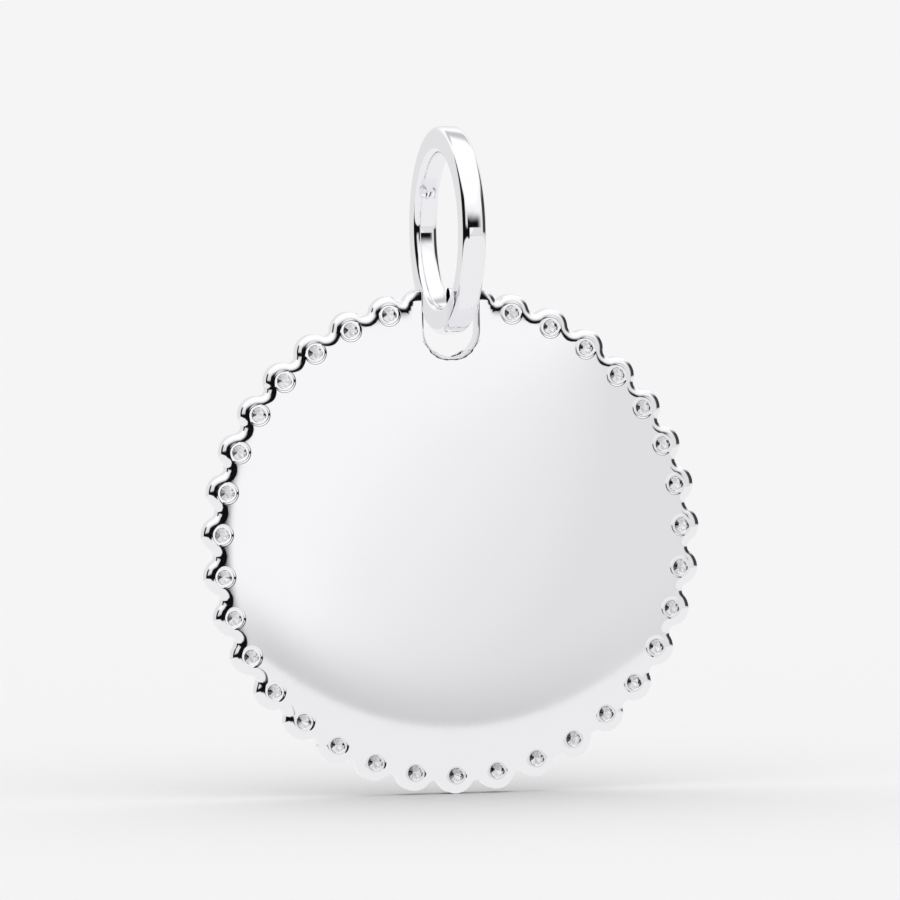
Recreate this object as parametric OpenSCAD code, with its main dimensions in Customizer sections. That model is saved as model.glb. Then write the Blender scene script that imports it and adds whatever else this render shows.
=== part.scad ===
// Disc pendant: a polished silver disc with a scalloped rim of small round stones, hanging from a
// plain round bail. The back of the disc, with a drilled hole under each stone, faces -Y.
// The origin is the inner top of the bail, where a chain carries it, and +Z is up.

/* [Bail] */
// Inner diameter of the bail ring
bail_inner_d = 7.0; // [6:0.1:9]
// Thickness of the bail's metal from the inside to the outside of the ring
bail_wall = 1.22; // [0.8:0.02:1.6]
// Width of the bail's band along its own axis
bail_width = 1.1; // [0.8:0.05:1.6]
// Rounding of the bail's four edges
bail_edge = 0.16; // [0.06:0.02:0.3]
// Angle by which the loose bail stands turned in its slot
bail_turn = 3.5; // [-6:0.5:6]

/* [Disc] */
// Diameter of the circle on which the stones and their lobes are centred
stone_circle_d = 21.28; // [20.4:0.02:25]
// Thickness of the disc from its back face to its front face
disc_thickness = 1.2; // [1.1:0.05:1.8]
// Distance from the stone circle out to the bottom of the valleys between the lobes
valley_out = 0.27; // [0.15:0.01:0.4]
// Rounding of the rim on the back and on the front
rim_round = 0.5; // [0.3:0.02:0.54]

/* [Lobes] */
// Diameter of one rounded lobe of the rim
lobe_d = 1.65; // [1.5:0.01:1.75]
// Depth of the back of the lobes below the flat back face
lobe_drop = 0.08; // [0.03:0.01:0.14]
// Distance from the slot's side to the centre of the plain lobe beside it
plain_lobe_out = 0.08; // [0:0.01:0.3]

/* [Slot and bar] */
// Free space between the bail's band and each side of the slot
slot_side_gap = 0.7; // [0.5:0.05:1]
// Free space between the outside of the hanging bail and the end of the slot
slot_end_gap = 1.0; // [0.8:0.05:1.6]
// Diameter of the round bar that closes the slot at the rim
bar_d = 0.86; // [0.7:0.02:1]
// Distance from the outside of the bar in to the outermost line of the lobes
bar_inset = 0.04; // [0:0.01:0.2]
// Running gap between the bar and the bail that it hangs on
bar_gap = 0.05; // [0.03:0.01:0.2]

/* [Stones] */
// Number of stones round the rim
stone_count = 33; // [27:1:35]
// Diameter of one round brilliant stone at its girdle
stone_d = 1.2; // [1:0.02:1.28]
// Thickness of a stone's girdle
girdle_h = 0.04; // [0.02:0.01:0.08]
// Angle of a stone's crown facets above the girdle
crown_angle = 34; // [30:0.5:37]
// Angle of a stone's pavilion facets below the girdle
pavilion_angle = 40.8; // [38:0.2:42]
// Clear space between a stone and its seat
seat_gap = 0.02; // [0.01:0.005:0.03]
// Depth of a stone's table below the front face
table_depth = 0.02; // [0:0.01:0.1]

/* [Drilled holes] */
// Diameter of the drilled hole under each stone
hole_d = 0.64; // [0.5:0.02:0.7]
// Width of the bevel round the mouth of each drilled hole
hole_bevel = 0.08; // [0.04:0.01:0.1]
// Diameter of the shallow dish that the back face has round each hole
dish_d = 1.24; // [1.1:0.02:1.4]

/* [Hidden] */
$fn = 96;

// Straight steps in the rounding of a rim
edge_steps = 3;

// Overlap of cutting bodies past the faces that they cut
past = 0.5;
// The same for the sloping side of a dish, short of the dish beside it
dish_lip = 0.03;

// Bail
bail_inner_r = bail_inner_d / 2;
bail_outer_r = bail_inner_r + bail_wall;
bail_z = -bail_inner_r;

// Disc, with its own axis along local z: the back is at -z, the front at +z, and the top at -y
stone_r = stone_circle_d / 2;
half_t = disc_thickness / 2;
lobe_r = lobe_d / 2;
bar_r = bar_d / 2;
rim_r = stone_r + lobe_r;
bar_from_centre = rim_r - bar_inset - bar_r;
bar_z = -bail_inner_d + bar_gap + bar_r;
disc_z = bar_z - bar_from_centre;

// Slot
slot_r = bail_width / 2 + slot_side_gap;
slot_bottom = bar_from_centre - bar_r - bar_gap - bail_wall - slot_end_gap;
plain_lobe_x = slot_r + plain_lobe_out;
plain_lobe_angle = asin(plain_lobe_x / stone_r);
bar_end = slot_r + bar_r / 4;

// Stones: two places of the even pitch, at the top, stay without one
pitch = 360 / (stone_count + 2);
girdle_r = stone_d / 2;
table_r = girdle_r * 0.57;
crown_h = (girdle_r - table_r) * tan(crown_angle);
pavilion_h = girdle_r * tan(pavilion_angle);
girdle_z = half_t - table_depth - crown_h;
seat_r = girdle_r + seat_gap;
lip_r = girdle_r - seat_gap;

function stone_angle(i) = (i + 1.5) * pitch;
function stone_name(i) = str("stone_", i < 9 ? "0" : "", i + 1);

// Rectangle from one corner to the other with its corners rounded by true arcs
module rounded_rectangle(from, to, r) {
    translate([from.x + r, from.y])
        square([to.x - from.x - 2 * r, to.y - from.y]);
    translate([from.x, from.y + r])
        square([to.x - from.x, to.y - from.y - 2 * r]);
    for (x = [from.x + r, to.x - r], y = [from.y + r, to.y - r])
        translate([x, y])
            circle(r);
}

// Solid button of radius r between two heights, its outer edge rounded on both sides in
// straight steps, which keep the faces of neighbouring buttons from meeting tangentially
module button(r, low, high, round) {
    step = 90 / edge_steps;
    flat_r = r - round;
    lower_edge = [for (i = [0:edge_steps])
        [flat_r + round * sin(step * i), low + round - round * cos(step * i)]];
    upper_edge = [for (i = [0:edge_steps])
        [flat_r + round * cos(step * i), high - round + round * sin(step * i)]];
    rotate_extrude()
        polygon(concat([[0, low]], lower_edge, upper_edge, [[0, high]]));
}

module bail() {
    color("silver")
        translate([0, 0, bail_z])
            rotate([0, 90, bail_turn])
                rotate_extrude()
                    rounded_rectangle([bail_inner_r, -bail_width / 2],
                                      [bail_outer_r, bail_width / 2], bail_edge);
}

// Places what is drawn in the disc's own frame
module in_disc_frame() {
    translate([0, 0, disc_z])
        rotate([-90, 0, 0])
            children();
}

// Places what is drawn round a lobe's centre at an angle from the top, turned with it
module on_stone_circle(angle) {
    rotate([0, 0, angle])
        translate([0, -stone_r, 0])
            children();
}

module lobe() {
    button(lobe_r, -half_t + lobe_drop, half_t, rim_round);
}

// The U-shaped slot, open towards the rim
module slot_cut() {
    translate([0, 0, -half_t - past])
        linear_extrude(disc_thickness + 2 * past) {
            translate([0, -slot_bottom - slot_r])
                circle(slot_r);
            translate([-slot_r, -rim_r - past])
                square([2 * slot_r, rim_r + past - slot_bottom - slot_r]);
        }
}

// The round bar that closes the slot and hangs on the bail, its ends rounded inside the lobes
module bar() {
    translate([0, -bar_from_centre, 0]) {
        rotate([0, 90, 0])
            cylinder(r = bar_r, h = 2 * bar_end, center = true);
        for (side = [-1, 1])
            translate([side * bar_end, 0, 0])
                sphere(bar_r);
    }
}

// Everything that is drilled for one stone: the dish and bevelled hole from the back,
// and from the front the seat that holds the stone under a thin lip
module stone_cut() {
    hole_r = hole_d / 2;
    mouth_r = hole_r + hole_bevel;
    lobe_back = -half_t + lobe_drop;
    seat_z = girdle_z - girdle_h - seat_gap;
    cone_h = (seat_r - hole_r) * tan(pavilion_angle);
    dish_slope = lobe_drop / (dish_d / 2 - mouth_r);
    rotate_extrude()
        polygon([
            [0, -half_t - past],
            [dish_d / 2 + dish_lip, -half_t - past],
            [dish_d / 2 + dish_lip, -half_t - dish_lip * dish_slope],
            [mouth_r, lobe_back],
            [hole_r, lobe_back + hole_bevel],
            [hole_r, seat_z - cone_h],
            [seat_r, seat_z],
            [seat_r, girdle_z],
            [lip_r, girdle_z + 2 * seat_gap],
            [lip_r, half_t + past],
            [0, half_t + past],
        ]);
}

module disc() {
    color("silver")
        in_disc_frame()
            union() {
                difference() {
                    union() {
                        button(stone_r + valley_out, -half_t, half_t, rim_round);
                        for (i = [0:stone_count - 1])
                            on_stone_circle(stone_angle(i))
                                lobe();
                        for (angle = [-plain_lobe_angle, plain_lobe_angle])
                            on_stone_circle(angle)
                                lobe();
                    }
                    for (i = [0:stone_count - 1])
                        on_stone_circle(stone_angle(i))
                            stone_cut();
                    slot_cut();
                }
                bar();
            }
}

// Round brilliant with its table up and the top of its girdle at z = 0: a table, eight star
// facets, eight kites and sixteen upper halves over the girdle, eight mains and sixteen lower
// halves under it. Star and lower points lie on the planes of the kites and mains beside them.
module brilliant() {
    star_r = girdle_r * 0.8;
    lower_r = girdle_r * 0.24;
    star_h = crown_h * (girdle_r - star_r * cos(22.5)) / (girdle_r - table_r);
    lower_h = -girdle_h - pavilion_h * (1 - lower_r * cos(22.5) / girdle_r);
    points = concat(
        [for (i = [0:7]) [table_r * cos(45 * i), table_r * sin(45 * i), crown_h]],
        [for (i = [0:7]) [star_r * cos(45 * i + 22.5), star_r * sin(45 * i + 22.5), star_h]],
        [for (i = [0:15]) [girdle_r * cos(22.5 * i), girdle_r * sin(22.5 * i), 0]],
        [for (i = [0:15]) [girdle_r * cos(22.5 * i), girdle_r * sin(22.5 * i), -girdle_h]],
        [for (i = [0:7]) [lower_r * cos(45 * i + 22.5), lower_r * sin(45 * i + 22.5), lower_h]],
        [[0, 0, -girdle_h - pavilion_h]]
    );
    // Where each ring of points starts in the list
    star = 8;
    upper = 16;
    lower = 32;
    half = 48;
    culet = 56;
    faces = concat(
        [[for (i = [7:-1:0]) i]],
        [for (i = [0:7]) [i, (i + 1) % 8, star + i]],
        [for (i = [0:7]) [i, star + i, upper + 2 * i, star + (i + 7) % 8]],
        [for (i = [0:7]) [star + i, upper + 2 * i + 1, upper + 2 * i]],
        [for (i = [0:7]) [star + i, upper + (2 * i + 2) % 16, upper + 2 * i + 1]],
        [for (i = [0:15]) [upper + i, upper + (i + 1) % 16, lower + (i + 1) % 16, lower + i]],
        [for (i = [0:7]) [half + i, lower + 2 * i, lower + 2 * i + 1]],
        [for (i = [0:7]) [half + i, lower + 2 * i + 1, lower + (2 * i + 2) % 16]],
        [for (i = [0:7]) [culet, half + (i + 7) % 8, lower + 2 * i, half + i]]
    );
    polyhedron(points, faces);
}

module stone(i) {
    color("azure")
        in_disc_frame()
            on_stone_circle(stone_angle(i))
                translate([0, 0, girdle_z])
                    brilliant();
}

bail();
disc();
for (i = [0:stone_count - 1])
    stone(i);
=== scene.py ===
from math import asin, atan2, cos, hypot, pi, radians, sin, sqrt, tan

import bmesh
import bpy
from mathutils import Matrix, Vector


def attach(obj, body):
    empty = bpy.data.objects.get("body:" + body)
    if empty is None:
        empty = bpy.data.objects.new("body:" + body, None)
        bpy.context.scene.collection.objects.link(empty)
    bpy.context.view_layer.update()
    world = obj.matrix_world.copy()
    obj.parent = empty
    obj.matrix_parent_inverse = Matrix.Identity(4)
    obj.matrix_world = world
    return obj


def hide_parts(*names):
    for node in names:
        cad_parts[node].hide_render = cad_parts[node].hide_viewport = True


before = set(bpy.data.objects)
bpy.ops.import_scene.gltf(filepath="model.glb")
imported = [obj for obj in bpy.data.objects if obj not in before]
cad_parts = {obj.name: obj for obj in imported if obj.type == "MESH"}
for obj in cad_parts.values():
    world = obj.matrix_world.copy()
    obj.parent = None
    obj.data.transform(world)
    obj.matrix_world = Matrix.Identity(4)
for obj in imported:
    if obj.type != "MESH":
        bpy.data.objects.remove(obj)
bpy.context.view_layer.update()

# Lens
# The pendant hangs upright just above a pale table. It is seen from its back, a little from the
# left, through a long lens that keeps its height and width true.
MM = 0.001
VIEW_AZIMUTH = radians(12.19)
VIEW_ELEVATION = radians(2.15)
VIEW_ROLL = radians(0.72)
VIEW_DISTANCE = 400 * MM
VIEW_WIDTH = 40.72 * MM
VIEW_CENTRE = Vector((0, 0, -13.43)) * MM
SENSOR_WIDTH = 36
FAR = 100

look = Vector((
    sin(VIEW_AZIMUTH) * cos(VIEW_ELEVATION),
    cos(VIEW_AZIMUTH) * cos(VIEW_ELEVATION),
    -sin(VIEW_ELEVATION),
))
lens = bpy.data.cameras.new("lens")
lens.sensor_width = SENSOR_WIDTH
lens.lens = SENSOR_WIDTH * VIEW_DISTANCE / VIEW_WIDTH
lens.clip_end = FAR
camera = bpy.data.objects.new("camera", lens)
camera.matrix_world = (
    Matrix.Translation(VIEW_CENTRE - look * VIEW_DISTANCE)
    @ look.to_track_quat("-Z", "Y").to_matrix().to_4x4()
    @ Matrix.Rotation(-VIEW_ROLL, 4, "Z")
)
bpy.context.scene.collection.objects.link(camera)
bpy.context.scene.camera = camera
bpy.context.scene.view_settings.view_transform = "Standard"

# Table
# A matt white board just under the lowest lobe, lit evenly from all round. The metal doesn't
# mirror it: it mirrors the studio's own table level, which has no shadow in it.
TABLE_SIZE = 3.0
TABLE_Z = -28.99 * MM


def linear(hex_colour):
    """An sRGB hex colour as the linear values that a shader takes."""
    shares = [int(hex_colour[i:i + 2], 16) / 255 for i in (1, 3, 5)]
    return [s / 12.92 if s <= 0.04045 else ((s + 0.055) / 1.055) ** 2.4 for s in shares] + [1]


def node(tree, kind, settings=None, **inputs):
    """Adds a node, sets its properties and fills its sockets with values or with links."""
    made = tree.nodes.new(kind)
    for name, value in (settings or {}).items():
        setattr(made, name, value)
    for name, value in inputs.items():
        socket = made.inputs[int(name[1:])] if name[1:].isdigit() else made.inputs[name.replace("_", " ")]
        if isinstance(value, bpy.types.NodeSocket):
            tree.links.new(value, socket)
        else:
            socket.default_value = value
    return made


def new_material(name):
    made = bpy.data.materials.new(name)
    made.use_nodes = True
    made.node_tree.nodes.clear()
    return made


table_mesh = bmesh.new()
bmesh.ops.create_grid(table_mesh, x_segments=1, y_segments=1, size=TABLE_SIZE / 2)
bmesh.ops.translate(table_mesh, vec=(0, 0, TABLE_Z), verts=table_mesh.verts)
table_data = bpy.data.meshes.new("table")
table_mesh.to_mesh(table_data)
table_mesh.free()
board = new_material("matt white board")
board_look = node(board.node_tree, "ShaderNodeBsdfDiffuse", Color=linear("#f5f5f5"))
node(board.node_tree, "ShaderNodeOutputMaterial", Surface=board_look.outputs[0])
table_data.materials.append(board)
table = bpy.data.objects.new("table", table_data)
bpy.context.scene.collection.objects.link(table)
table.visible_glossy = False

# Studio
# The eye sees a plain pale surround. The polished metal mirrors soft boxes, pale walls and dark
# cards round the lens, as jewellery does where it is photographed.
BACKDROP = "#f5f5f5"
TABLE_LEVEL = 0.905

# A card covers an azimuth, counted from -Y and growing to the left, and an elevation, in degrees.
# Its edges are soft, and it may lean to the left by some degrees for each degree up.
STUDIO = [
    # Azimuth from, to, edge and lean, elevation from, to, lower and upper edge, and brightness
    (-200, 200, 1, 0, -5.5, 100, 0.4, 1, 0.80),
    (-200, 200, 1, 0, 22, 100, 24, 1, 1.08),
    (-14.2, -4, 3.2, -0.75, -5.5, 40, 0.4, 20, 1.00),
    (-200, 200, 1, 0, -5.5, -4.4, 0.4, 2.2, 0.75),
    (-14, -7, 4, 0, -5.5, -4.6, 0.4, 2.0, 0.64),
    (-6.2, 20, 1.2, 0, -8, 12, 3, 6, 0.005),
    (-26, 20, 8, 0, 3.4, 15, 1.2, 14, 0.005),
    (15, 132, 6, 0, -6.2, 4, 2.4, 6, 0.005),
    (60, 125, 10, 0, -5.5, 29, 0.6, 10, 0.005),
    (-120, -47, 10, 0, -2, 34, 3, 20, 0.05),
    (-200, -135, 20, 0, 38, 54, 10, 12, 0.60),
    (135, 200, 20, 0, 38, 54, 10, 12, 0.60),
]

world = bpy.data.worlds.new("studio")
bpy.context.scene.world = world
world.use_nodes = True
sky = world.node_tree
sky.nodes.clear()
direction = node(sky, "ShaderNodeTexCoord").outputs["Generated"]
sky_x, sky_y, sky_z = node(sky, "ShaderNodeSeparateXYZ", Vector=direction).outputs
to_left = node(sky, "ShaderNodeMath", {"operation": "MULTIPLY"}, _0=sky_x, _1=-1.0).outputs[0]
to_front = node(sky, "ShaderNodeMath", {"operation": "MULTIPLY"}, _0=sky_y, _1=-1.0).outputs[0]
azimuth = node(sky, "ShaderNodeMath", {"operation": "ARCTAN2"}, _0=to_left, _1=to_front).outputs[0]
azimuth = node(sky, "ShaderNodeMath", {"operation": "DEGREES"}, _0=azimuth).outputs[0]
elevation = node(sky, "ShaderNodeMath", {"operation": "ARCSINE"}, _0=sky_z).outputs[0]
elevation = node(sky, "ShaderNodeMath", {"operation": "DEGREES"}, _0=elevation).outputs[0]
path = node(sky, "ShaderNodeLightPath").outputs
brightness = TABLE_LEVEL
for az_from, az_to, az_edge, lean, el_from, el_to, el_low, el_high, level in STUDIO:
    card = 1.0
    along = node(sky, "ShaderNodeMath", {"operation": "MULTIPLY_ADD"}, _0=elevation, _1=-lean,
                 _2=azimuth).outputs[0]
    for angle, middle, width in ((along, az_from, az_edge), (along, az_to, -az_edge),
                                 (elevation, el_from, el_low), (elevation, el_to, -el_high)):
        edge = node(sky, "ShaderNodeMapRange", {"interpolation_type": "SMOOTHSTEP"}, Value=angle,
                    From_Min=middle - width / 2, From_Max=middle + width / 2).outputs[0]
        card = node(sky, "ShaderNodeMath", {"operation": "MULTIPLY"}, _0=card, _1=edge).outputs[0]
    brightness = node(sky, "ShaderNodeMapRange", Value=card, To_Min=brightness, To_Max=level).outputs[0]

# Light that the metal throws on to the board counts only from this elevation up, which leaves a
# soft shade under the pendant
BOARD_LIGHT_FROM = 10.0
ZENITH = 90.0
off_metal = node(sky, "ShaderNodeMath", {"operation": "MULTIPLY", "use_clamp": True},
                 _0=path["Is Glossy Ray"], _1=path["Diffuse Depth"]).outputs[0]
to_board = node(sky, "ShaderNodeMapRange", Value=elevation, From_Min=BOARD_LIGHT_FROM,
                From_Max=ZENITH).outputs[0]
to_board = node(sky, "ShaderNodeMapRange", Value=off_metal, To_Min=1.0, To_Max=to_board).outputs[0]
brightness = node(sky, "ShaderNodeMath", {"operation": "MULTIPLY"}, _0=brightness, _1=to_board).outputs[0]

# Only mirrored and refracted rays see the cards, and the board gets plain light of one strength
mirrored = node(sky, "ShaderNodeMath", {"operation": "ADD", "use_clamp": True}, _0=path["Is Glossy Ray"],
                _1=path["Is Transmission Ray"]).outputs[0]
brightness = node(sky, "ShaderNodeMapRange", Value=mirrored, To_Min=1.0, To_Max=brightness).outputs[0]
studio_light = node(sky, "ShaderNodeBackground", Color=linear("#ffffff"), Strength=brightness)
backdrop = node(sky, "ShaderNodeBackground", Color=linear(BACKDROP), Strength=1.0)
both = node(sky, "ShaderNodeMixShader", _0=path["Is Camera Ray"], _1=studio_light.outputs[0],
            _2=backdrop.outputs[0])
node(sky, "ShaderNodeOutputWorld", Surface=both.outputs[0])

# Bail
# A closed ring of flat sterling silver band, bent and soldered, then crowned and polished so that
# its edges are soft. It passes through the slot of the disc, and a chain runs through its top.
BAIL_INNER_R = 3.5
BAIL_OUTER_R = 4.72
BAIL_WIDTH = 1.1
BAIL_EDGE = 0.25
BAIL_CROWN = 0.045
BAIL_INNER_CROWN = 0.03
BAIL_TURN = radians(3.5)
BAIL_SHARP = radians(40)
EDGE_STEPS = 8
FLAT_STEPS = 8
RING_STEPS = 192

# The metal is drawn in millimetres, and points closer than this are one
SAME_POINT = 0.001

# Polished sterling silver: a nearly white mirror, with the faint haze and hairlines that a
# polishing wheel leaves. The hairlines are drawn coarser than real ones so that they show.
silver = new_material("polished sterling silver")
silver_tree = silver.node_tree
place = node(silver_tree, "ShaderNodeTexCoord").outputs["Object"]
HAZE_SIZE = 1.5 * MM
HAIRLINE = 0.06 * MM
HAIRLINE_TURN = radians(35)
HAIRLINE_SQUEEZE = 0.06
haze = node(silver_tree, "ShaderNodeTexNoise", Vector=place, Scale=1 / HAZE_SIZE, Detail=3.0)
haze_roughness = node(silver_tree, "ShaderNodeMapRange", Value=haze.outputs["Fac"], To_Min=0.02,
                      To_Max=0.05)
stretched = node(silver_tree, "ShaderNodeMapping", {"vector_type": "POINT"}, Vector=place,
                 Rotation=(0, HAIRLINE_TURN, 0), Scale=(1, 1, HAIRLINE_SQUEEZE))
hairlines = node(silver_tree, "ShaderNodeTexNoise", Vector=stretched.outputs[0], Scale=1 / HAIRLINE,
                 Detail=2.0)
relief = node(silver_tree, "ShaderNodeBump", Strength=0.02, Distance=0.002 * MM,
              Height=hairlines.outputs["Fac"])
silver_look = node(silver_tree, "ShaderNodeBsdfPrincipled", Base_Color=linear("#f6f6f9"), Metallic=1.0,
                   Roughness=haze_roughness.outputs[0], Normal=relief.outputs[0])
node(silver_tree, "ShaderNodeOutputMaterial", Surface=silver_look.outputs[0])


def new_piece(name, bm, material, body):
    """Turns a mesh drawn in millimetres into a piece in metres, at the origin, on its body."""
    bmesh.ops.scale(bm, vec=(MM, MM, MM), verts=bm.verts)
    mesh = bpy.data.meshes.new(name)
    bm.to_mesh(mesh)
    bm.free()
    mesh.materials.append(material)
    piece = bpy.data.objects.new(name, mesh)
    bpy.context.scene.collection.objects.link(piece)
    weighted = piece.modifiers.new("weighted normals", "WEIGHTED_NORMAL")
    weighted.keep_sharp = True
    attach(piece, body)
    return piece


def show_smooth(bm, sharp_angle):
    """Smooth shading with every edge sharper than the angle kept crisp."""
    for face in bm.faces:
        face.smooth = True
    for edge in bm.edges:
        edge.smooth = edge.calc_face_angle(0) < sharp_angle


band = bmesh.new()
bmesh.ops.create_grid(band, x_segments=1, y_segments=1, size=0.5)
bmesh.ops.scale(band, vec=(BAIL_WIDTH, BAIL_OUTER_R - BAIL_INNER_R, 1), verts=band.verts)
bmesh.ops.bevel(band, geom=band.verts[:], offset=BAIL_EDGE, offset_type="OFFSET", segments=EDGE_STEPS,
                profile=0.5, affect="VERTICES", material=-1)
flats = [edge for edge in band.edges if edge.calc_length() > BAIL_EDGE]
bmesh.ops.subdivide_edges(band, edges=flats, cuts=FLAT_STEPS)
bmesh.ops.delete(band, geom=band.faces[:], context="FACES_ONLY")
bmesh.ops.rotate(band, matrix=Matrix.Rotation(pi / 2, 3, "X"), verts=band.verts)
bmesh.ops.translate(band, vec=(0, 0, (BAIL_INNER_R + BAIL_OUTER_R) / 2), verts=band.verts)
for vert in band.verts:
    outside = vert.co.z > (BAIL_INNER_R + BAIL_OUTER_R) / 2
    crown = (2 * vert.co.x / BAIL_WIDTH) ** 2
    vert.co.z += -BAIL_CROWN * crown if outside else BAIL_INNER_CROWN * crown
bmesh.ops.spin(band, geom=band.verts[:] + band.edges[:], cent=(0, 0, 0), axis=(1, 0, 0),
               angle=2 * pi, steps=RING_STEPS, use_merge=True)
bmesh.ops.remove_doubles(band, verts=band.verts, dist=SAME_POINT / 2)
bmesh.ops.recalc_face_normals(band, faces=band.faces)
bmesh.ops.rotate(band, matrix=Matrix.Rotation(BAIL_TURN, 3, "Z"), verts=band.verts)
bmesh.ops.translate(band, vec=(0, 0, -BAIL_INNER_R), verts=band.verts)
show_smooth(band, BAIL_SHARP)
bail = new_piece("bail_ring", band, silver, "bail")
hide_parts("bail")

# Disc
# One casting of sterling silver, tumbled and polished: a plate whose rim is a row of round lobes,
# one for each stone, with a U-shaped slot at the top that a round bar closes. The back is a flat
# mirror that rolls off towards the rim, and each stone has a drilled hole with a bevelled mouth.
STONE_COUNT = 33
PITCH = 2 * pi / (STONE_COUNT + 2)
FIRST_STONE = 1.5 * PITCH
STONE_R = 10.64
HALF_THICK = 0.6
LOBE_R = 0.825
VALLEY_R = 10.91
FACE_R = 7.9
CENTRE_Z = -17.515
FRONT_EDGE_Y = 0.4
PLATE_SHARP = radians(38)

# The face leans out of flat by this much at its edge, growing with a power of the radius
ROLL_SLOPE = tan(radians(0.6))
ROLL_POWER = 4.9
FRONT_ROLL = 0.4

# Rounding of the rim and of the slot: how far in it starts and how deep it goes at the edge, and
# the share of the lesser one that is left where both meet
RIM_IN = 0.40
RIM_DEEP = 0.16
FRONT_RIM_IN = 0.2
SLOT_IN = 0.09
SLOT_DEEP = 0.08
LESSER_SHARE = 0.3

# The pad round each drilled hole is level, and a small step leads from it to the leaning face
PAD_R = 0.43
PAD_STEP = 0.08
PAD_DROP = 0.011
HOLE_R = 0.32
MOUTH_BEVEL = 0.02

# Stone seats, seen from the front: a straight wall, a cone under the stone and a thin lip over it
SEAT_R = 0.62
SEAT_Y = 0.346
GIRDLE_Y = 0.406
LIP_R = 0.58
LIP_Y = 0.446
CONE_Y = 0.087


def fall(r):
    """How far the polished face has rolled off at a distance from the disc's centre."""
    return ROLL_SLOPE * FACE_R / (ROLL_POWER + 1) * (r / FACE_R) ** (ROLL_POWER + 1)


def rounding(into, width):
    """From 0 at a width in from an edge to 1 at the edge, as a rounded corner."""
    share = min(max(1 - into / width, 0), 1)
    return 1 - sqrt(1 - share ** 2)


def valley(half_angle, bottom=None, fillet=None):
    """The valley beside a lobe, on the line at half_angle: its bottom, centre and fillet. It is
    drawn from its bottom or else from its fillet."""
    along = STONE_R * cos(half_angle)
    side = STONE_R * sin(half_angle)
    if fillet is None:
        rise = bottom - along
        fillet = (side ** 2 + rise ** 2 - LOBE_R ** 2) / (2 * (LOBE_R - rise))
    centre = along + sqrt((LOBE_R + fillet) ** 2 - side ** 2)
    return centre - fillet, centre, fillet


def patch(bm, columns, rows, place):
    """A grid of faces, each corner moved to place(column share, row share)."""
    grid = bmesh.ops.create_grid(bm, x_segments=columns, y_segments=rows, size=0.5)["verts"]
    for vert in grid:
        vert.co = place(vert.co.x + 0.5, vert.co.y + 0.5)
    return grid


def smooth_step(value, low, high):
    """From 0 at low to 1 at high, level at both ends."""
    share = min(max((value - low) / (high - low), 0), 1)
    return share * share * (3 - 2 * share)


def heights(x, z, from_rim, drop, from_slot, front):
    """The height of the surface at a point of the disc, on the back or on the front."""
    slot = SLOT_DEEP * rounding(from_slot, SLOT_IN)
    if front:
        level = HALF_THICK - FRONT_ROLL * fall(hypot(x, z))
        level -= (level - FRONT_EDGE_Y) * rounding(from_rim, FRONT_RIM_IN)
        return level - slot * (level - FRONT_EDGE_Y) / (HALF_THICK - FRONT_EDGE_Y)
    rim = RIM_DEEP * rounding(from_rim, RIM_IN)
    edge = max(rim, slot) + min(rim, slot) * LESSER_SHARE
    return -HALF_THICK + fall(hypot(x, z)) + drop + edge


# Steps along the border of a half lobe: round the lobe, round the valley's fillet, down the side
# to the middle of the face, closer together near the rim, and back along that
LOBE_STEPS = 12
FILLET_STEPS = 4
SIDE_STEPS = 22
SIDE_EASE = 1.6
ARC_STEPS = 3
RIM_STEPS = LOBE_STEPS + FILLET_STEPS
BORDER_STEPS = RIM_STEPS + SIDE_STEPS + ARC_STEPS

# Rings round the hole, from the seat out through the hole, its mouth, its pad and the pad's step,
# and then steps over the face to the border. The height of the last back ring follows the face.
PAD_STEPS = 4
FACE_STEPS = 9
FRONT_STEPS = 7
BACK_RINGS = [(SEAT_R, SEAT_Y), (HOLE_R, CONE_Y), (HOLE_R, None)]
PAD_RINGS = [HOLE_R + MOUTH_BEVEL] + [PAD_R + PAD_STEP * i / PAD_STEPS for i in range(-1, PAD_STEPS + 2)]
FRONT_RINGS = [(SEAT_R, SEAT_Y), (SEAT_R, GIRDLE_Y), (LIP_R, LIP_Y)]
BACK_ROWS = len(BACK_RINGS) + len(PAD_RINGS) + FACE_STEPS - 1
FRONT_ROWS = len(FRONT_RINGS) + FRONT_STEPS

# Between these cosines of the turn from straight out, the steps draw together near the border
EVEN_UP_TO = -0.2
EASED_FROM = 0.4


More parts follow.
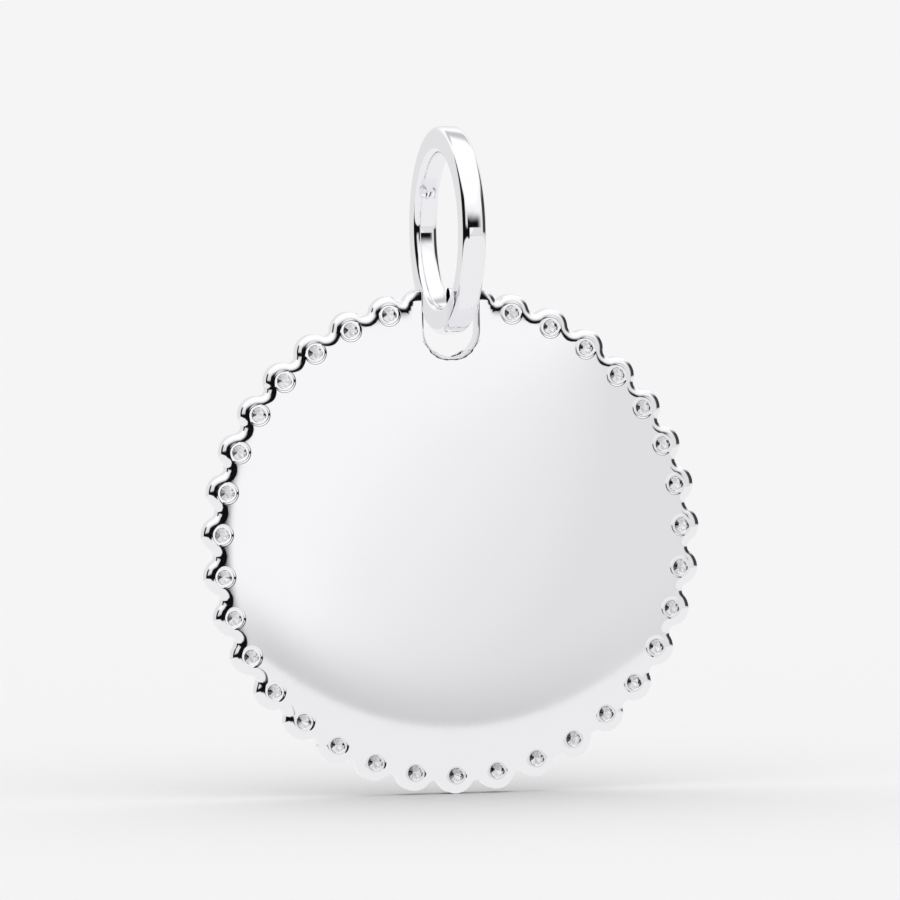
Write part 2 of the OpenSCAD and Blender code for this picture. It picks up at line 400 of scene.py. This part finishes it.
def half_lobe(bm, half_angle, bottom, centre, fillet):
    """Half of one lobe, from its middle line to the valley on its clockwise side, with its share of
    the face, its hole and its seat. It is drawn at the top of the disc, round (0, STONE_R)."""
    valley_x = centre * sin(half_angle)
    valley_z = centre * cos(half_angle) - STONE_R
    turn = atan2(valley_x, valley_z)

    def border(share):
        step = share * BORDER_STEPS
        if step <= LOBE_STEPS:
            angle = turn * step / LOBE_STEPS
            return LOBE_R * sin(angle), LOBE_R * cos(angle)
        step -= LOBE_STEPS
        if step <= FILLET_STEPS:
            start = turn + pi
            end = half_angle + pi
            angle = start + (end - start) * step / FILLET_STEPS
            return valley_x + fillet * sin(angle), valley_z + fillet * cos(angle)
        step -= FILLET_STEPS
        if step <= SIDE_STEPS:
            r = bottom + (FACE_R - bottom) * (step / SIDE_STEPS) ** SIDE_EASE
            return r * sin(half_angle), r * cos(half_angle) - STONE_R
        angle = half_angle * (1 - (step - SIDE_STEPS) / ARC_STEPS)
        return FACE_R * sin(angle), FACE_R * cos(angle) - STONE_R

    def surface(x, z, front):
        away = hypot(x, z)
        if atan2(x, z) <= turn:
            from_rim = LOBE_R - away
        else:
            from_rim = hypot(x - valley_x, z - valley_z) - fillet
        pad = 1 - smooth_step(away, PAD_R, PAD_R + PAD_STEP)
        drop = (fall(STONE_R) + PAD_DROP - fall(hypot(x, z + STONE_R))) * pad
        return heights(x, z + STONE_R, from_rim, drop, SLOT_IN, front)

    def spread(share_out, edge_x, edge_z, start_r):
        """A point between a ring round the hole and the border, closer together near the rim."""
        reach = hypot(edge_x, edge_z)
        outward = min(max((edge_z / reach - EVEN_UP_TO) / (EASED_FROM - EVEN_UP_TO), 0), 1)
        eased = sin(share_out * pi / 2) * outward + share_out * (1 - outward)
        r = start_r + (reach - start_r) * eased
        return edge_x / reach * r, edge_z / reach * r

    def back(u, v):
        edge_x, edge_z = border(u)
        reach = hypot(edge_x, edge_z)
        step = round(v * BACK_ROWS)
        if step < len(BACK_RINGS):
            r, y = BACK_RINGS[step]
            if y is None:
                y = surface(edge_x / reach * r, edge_z / reach * r, False) + MOUTH_BEVEL
            return edge_x / reach * r, y, edge_z / reach * r + STONE_R
        step -= len(BACK_RINGS)
        if step < len(PAD_RINGS):
            x, z = edge_x / reach * PAD_RINGS[step], edge_z / reach * PAD_RINGS[step]
        else:
            share = (step - len(PAD_RINGS) + 1) / FACE_STEPS
            x, z = spread(share, edge_x, edge_z, PAD_RINGS[-1])
        return x, surface(x, z, False), z + STONE_R

    def face(u, v):
        edge_x, edge_z = border(u)
        reach = hypot(edge_x, edge_z)
        step = round(v * FRONT_ROWS)
        if step < len(FRONT_RINGS):
            r, y = FRONT_RINGS[step]
            return edge_x / reach * r, y, edge_z / reach * r + STONE_R
        x, z = spread((step - len(FRONT_RINGS)) / FRONT_STEPS, edge_x, edge_z, LIP_R)
        return x, surface(x, z, True), z + STONE_R

    def rim(u, v):
        x, z = border(u * RIM_STEPS / BORDER_STEPS)
        return x, surface(x, z, False) * (1 - v) + surface(x, z, True) * v, z + STONE_R

    made = patch(bm, BORDER_STEPS, BACK_ROWS, back)
    made += patch(bm, BORDER_STEPS, FRONT_ROWS, face)
    made += patch(bm, RIM_STEPS, 1, rim)
    return made


def turned(bm, verts, angle):
    bmesh.ops.rotate(bm, cent=(0, 0, 0), matrix=Matrix.Rotation(angle, 3, "Y"), verts=verts)


plate = bmesh.new()
even = half_lobe(plate, PITCH / 2, *valley(PITCH / 2, bottom=VALLEY_R))
turned(plate, even, FIRST_STONE)
bmesh.ops.spin(plate, geom=even + plate.edges[:] + plate.faces[:], cent=(0, 0, 0), axis=(0, 1, 0),
               angle=(STONE_COUNT - 2) * PITCH, steps=STONE_COUNT - 2, use_duplicate=True)

# Beside the slot the last lobe meets a plain one sooner, in a narrower valley. The plain lobe has
# a crisper rim, and outside a radius its face leans straight on instead of rolling off further.
SLOT_R = 1.25
SLOT_CENTRE_R = 9.545
PLAIN_X = 1.33
PLAIN_FILLET = 0.12
PLAIN_CRISP = 1.2
STRAIGHT_FROM = 9.8
plain_angle = asin(PLAIN_X / STONE_R)
near_angle = (FIRST_STONE - plain_angle) / 2
near_valley = valley(near_angle, fillet=PLAIN_FILLET)
turned(plate, half_lobe(plate, near_angle, *near_valley), -FIRST_STONE)

# The slot's half: from the slot's edge across the plain lobe to the line of the narrower valley.
# Its sides run from the middle of the face up to the rim, and the one beside the slot goes up the
# disc's middle line, round the slot's end and straight on.
valley_angle = plain_angle + near_angle
plain_z = STONE_R * cos(plain_angle)
near_bottom, near_centre, near_fillet = near_valley
near_x = near_centre * sin(valley_angle)
near_z = near_centre * cos(valley_angle)
near_turn = atan2(near_x - PLAIN_X, near_z - plain_z)
UP_STEPS = SIDE_STEPS
MIDDLE_STEPS = 6
MIDDLE_EASE = 1.3
ROUND_STEPS = 10
STRAIGHT_STEPS = UP_STEPS - MIDDLE_STEPS - ROUND_STEPS
STRAIGHT_EASE = 1.6
ACROSS_STEPS = 24
ACROSS_EASE = 1.2
BEVEL_STEPS = 5
TOP_LOBE_SHARE = 0.85
slot_bottom = SLOT_CENTRE_R - SLOT_R


def corner_turn(out):
    """The turn round the plain lobe at which the line beside the slot meets the rim."""
    return asin((SLOT_R + out - PLAIN_X) / LOBE_R)


def slot_side(share, out):
    """A point on the line beside the slot, at a distance out from its edge."""
    step = share * UP_STEPS
    if step <= MIDDLE_STEPS:
        end = slot_bottom - out
        return 0, end + (FACE_R - end) * (1 - step / MIDDLE_STEPS) ** MIDDLE_EASE
    step -= MIDDLE_STEPS
    r = SLOT_R + out
    if step <= ROUND_STEPS:
        angle = pi / 2 * step / ROUND_STEPS
        return r * sin(angle), SLOT_CENTRE_R - r * cos(angle)
    eased = 1 - (1 - (step - ROUND_STEPS) / STRAIGHT_STEPS) ** STRAIGHT_EASE
    top = plain_z + LOBE_R * cos(corner_turn(out))
    return r, SLOT_CENTRE_R + (top - SLOT_CENTRE_R) * eased


def valley_side(share):
    """A point on the line of the narrower valley, up from the middle of the face."""
    r = near_bottom + (FACE_R - near_bottom) * (1 - share) ** SIDE_EASE
    return r * sin(valley_angle), r * cos(valley_angle)


def top_side(share):
    """A point on the rim, round the plain lobe and into the narrower valley."""
    if share <= TOP_LOBE_SHARE:
        start = corner_turn(SLOT_IN)
        angle = start + (near_turn - start) * share / TOP_LOBE_SHARE
        return PLAIN_X + LOBE_R * sin(angle), plain_z + LOBE_R * cos(angle)
    start = near_turn + pi
    end = valley_angle + pi
    angle = start + (end - start) * (share - TOP_LOBE_SHARE) / (1 - TOP_LOBE_SHARE)
    return near_x + near_fillet * sin(angle), near_z + near_fillet * cos(angle)


def bottom_side(share):
    """A point on the edge of the middle of the face."""
    angle = valley_angle * share
    return FACE_R * sin(angle), FACE_R * cos(angle)


def slot_point(u, v):
    """A point inside the four sides, blended from them."""
    left, right, top, low = slot_side(v, SLOT_IN), valley_side(v), top_side(u), bottom_side(u)
    corners = slot_side(0, SLOT_IN), valley_side(0), slot_side(1, SLOT_IN), valley_side(1)
    return [
        left[i] * (1 - u) + right[i] * u + low[i] * (1 - v) + top[i] * v
        - (corners[0][i] * (1 - u) * (1 - v) + corners[1][i] * u * (1 - v)
           + corners[2][i] * (1 - u) * v + corners[3][i] * u * v)
        for i in (0, 1)
    ]


def slot_surface(x, z, front):
    """The height of the surface at a point of the slot's half."""
    turn = atan2(x - PLAIN_X, z - plain_z)
    if -pi / 2 <= turn <= near_turn:
        from_rim = LOBE_R - hypot(x - PLAIN_X, z - plain_z)
    else:
        from_rim = hypot(x - near_x, z - near_z) - near_fillet
    if z >= SLOT_CENTRE_R:
        from_slot = x - SLOT_R
    else:
        from_slot = hypot(x, z - SLOT_CENTRE_R) - SLOT_R
    beside = 1 - smooth_step(atan2(x, z), plain_angle, valley_angle)
    r = max(hypot(x, z), STRAIGHT_FROM)
    lean = fall(STRAIGHT_FROM) * (ROLL_POWER + 1) / STRAIGHT_FROM
    drop = (fall(STRAIGHT_FROM) + lean * (r - STRAIGHT_FROM) - fall(r)) * beside
    from_rim = max(from_rim, 0) * (1 + PLAIN_CRISP * beside)
    return heights(x, z, from_rim, drop, max(from_slot, 0), front)


def slot_half(front):
    def place(u, v):
        x, z = slot_point(u ** ACROSS_EASE, v)
        return x, slot_surface(x, z, front), z
    return place


patch(plate, ACROSS_STEPS, UP_STEPS, slot_half(False))
patch(plate, ACROSS_STEPS, UP_STEPS, slot_half(True))


def beside_slot(share, out):
    """A point on the line beside the slot, without the part on the disc's middle line."""
    return slot_side((MIDDLE_STEPS + share * (ROUND_STEPS + STRAIGHT_STEPS)) / UP_STEPS, out)


def slot_bevel(front):
    def place(u, v):
        x, z = beside_slot(v, SLOT_IN * u)
        return x, slot_surface(x, z, front), z
    return place


patch(plate, BEVEL_STEPS, ROUND_STEPS + STRAIGHT_STEPS, slot_bevel(False))
patch(plate, BEVEL_STEPS, ROUND_STEPS + STRAIGHT_STEPS, slot_bevel(True))


def wall(point):
    """A straight wall from the back to the front along a line of points."""
    def place(u, v):
        x, z = point(u)
        back_y, front_y = slot_surface(x, z, False), slot_surface(x, z, True)
        return x, back_y + (front_y - back_y) * v, z
    return place


patch(plate, ACROSS_STEPS, 1, wall(lambda u: slot_point(u ** ACROSS_EASE, 1)))
patch(plate, BEVEL_STEPS, 1, wall(lambda u: slot_side(1, SLOT_IN * u)))
patch(plate, ROUND_STEPS + STRAIGHT_STEPS, 1, wall(lambda u: beside_slot(u, 0)))

bmesh.ops.remove_doubles(plate, verts=plate.verts, dist=SAME_POINT)
bmesh.ops.mirror(plate, geom=plate.verts[:] + plate.edges[:] + plate.faces[:], axis="X",
                 merge_dist=SAME_POINT)
bmesh.ops.remove_doubles(plate, verts=plate.verts, dist=SAME_POINT)

# The flat middle of each face, ring by ring inwards from the lobes' shares, then one flat cap
FACE_RINGS = [7.3, 6.7, 6.0, 5.2, 4.2]
for front in (False, True):
    side = 1 if front else -1
    ring = [
        e for e in plate.edges
        if e.is_boundary and all(v.co.y * side > HALF_THICK / 2 for v in e.verts)
    ]
    for r in FACE_RINGS:
        grown = bmesh.ops.extrude_edge_only(plate, edges=ring)["geom"]
        ring = [g for g in grown if isinstance(g, bmesh.types.BMEdge) and g.is_boundary]
        for vert in {v for e in ring for v in e.verts}:
            now = hypot(vert.co.x, vert.co.z)
            vert.co.x *= r / now
            vert.co.z *= r / now
            vert.co.y = side * (HALF_THICK - fall(r) * (FRONT_ROLL if front else 1))
    bmesh.ops.contextual_create(plate, geom=ring)

# The bar across the slot: drawn round wire, soldered in with a small flare. Only its half at +X is
# drawn, open in the middle.
BAR_R = 0.43
BAR_FROM_CENTRE = 10.995
BAR_FLARE = 0.14
BAR_FLARE_STEPS = 6
BAR_END = SLOT_R + 0.08
BAR_ROUND_STEPS = 48
bar_profile = [(0, BAR_R)]
for i in range(BAR_FLARE_STEPS + 1):
    inward = BAR_FLARE * cos(pi / 2 * i / BAR_FLARE_STEPS)
    bar_profile.append((SLOT_R - inward, BAR_R + BAR_FLARE - inward))
bar_profile += [(BAR_END, BAR_R + BAR_FLARE), (BAR_END, 0)]
bar = [plate.verts.new((x, 0, r)) for x, r in bar_profile]
bar_edges = [plate.edges.new(pair) for pair in zip(bar, bar[1:])]
bmesh.ops.translate(plate, vec=(0, 0, BAR_FROM_CENTRE), verts=bar)
bmesh.ops.spin(plate, geom=bar + bar_edges, cent=(0, 0, BAR_FROM_CENTRE), axis=(1, 0, 0),
               angle=2 * pi, steps=BAR_ROUND_STEPS, use_merge=True)
bmesh.ops.remove_doubles(plate, verts=plate.verts, dist=SAME_POINT)
bmesh.ops.recalc_face_normals(plate, faces=plate.faces)
bmesh.ops.translate(plate, vec=(0, 0, CENTRE_Z), verts=plate.verts)
show_smooth(plate, PLATE_SHARP)
disc = new_piece("disc_plate", plate, silver, "disc")
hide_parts("disc")

# Stones
# Round brilliant cubic zirconia, cut by machine and pushed into their seats from the front. The
# metal over their girdles holds them, and light falls in through the drilled holes behind them.
CUBIC_ZIRCONIA_IOR = 2.16
zirconia = new_material("clear cubic zirconia")
zirconia_tree = zirconia.node_tree
zirconia_look = node(zirconia_tree, "ShaderNodeBsdfPrincipled", Base_Color=linear("#fdfdff"), Roughness=0.0,
                     IOR=CUBIC_ZIRCONIA_IOR, Transmission_Weight=1.0)
node(zirconia_tree, "ShaderNodeOutputMaterial", Surface=zirconia_look.outputs[0])
for name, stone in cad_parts.items():
    if name.startswith("stone_"):
        stone.data.materials.clear()
        stone.data.materials.append(zirconia)
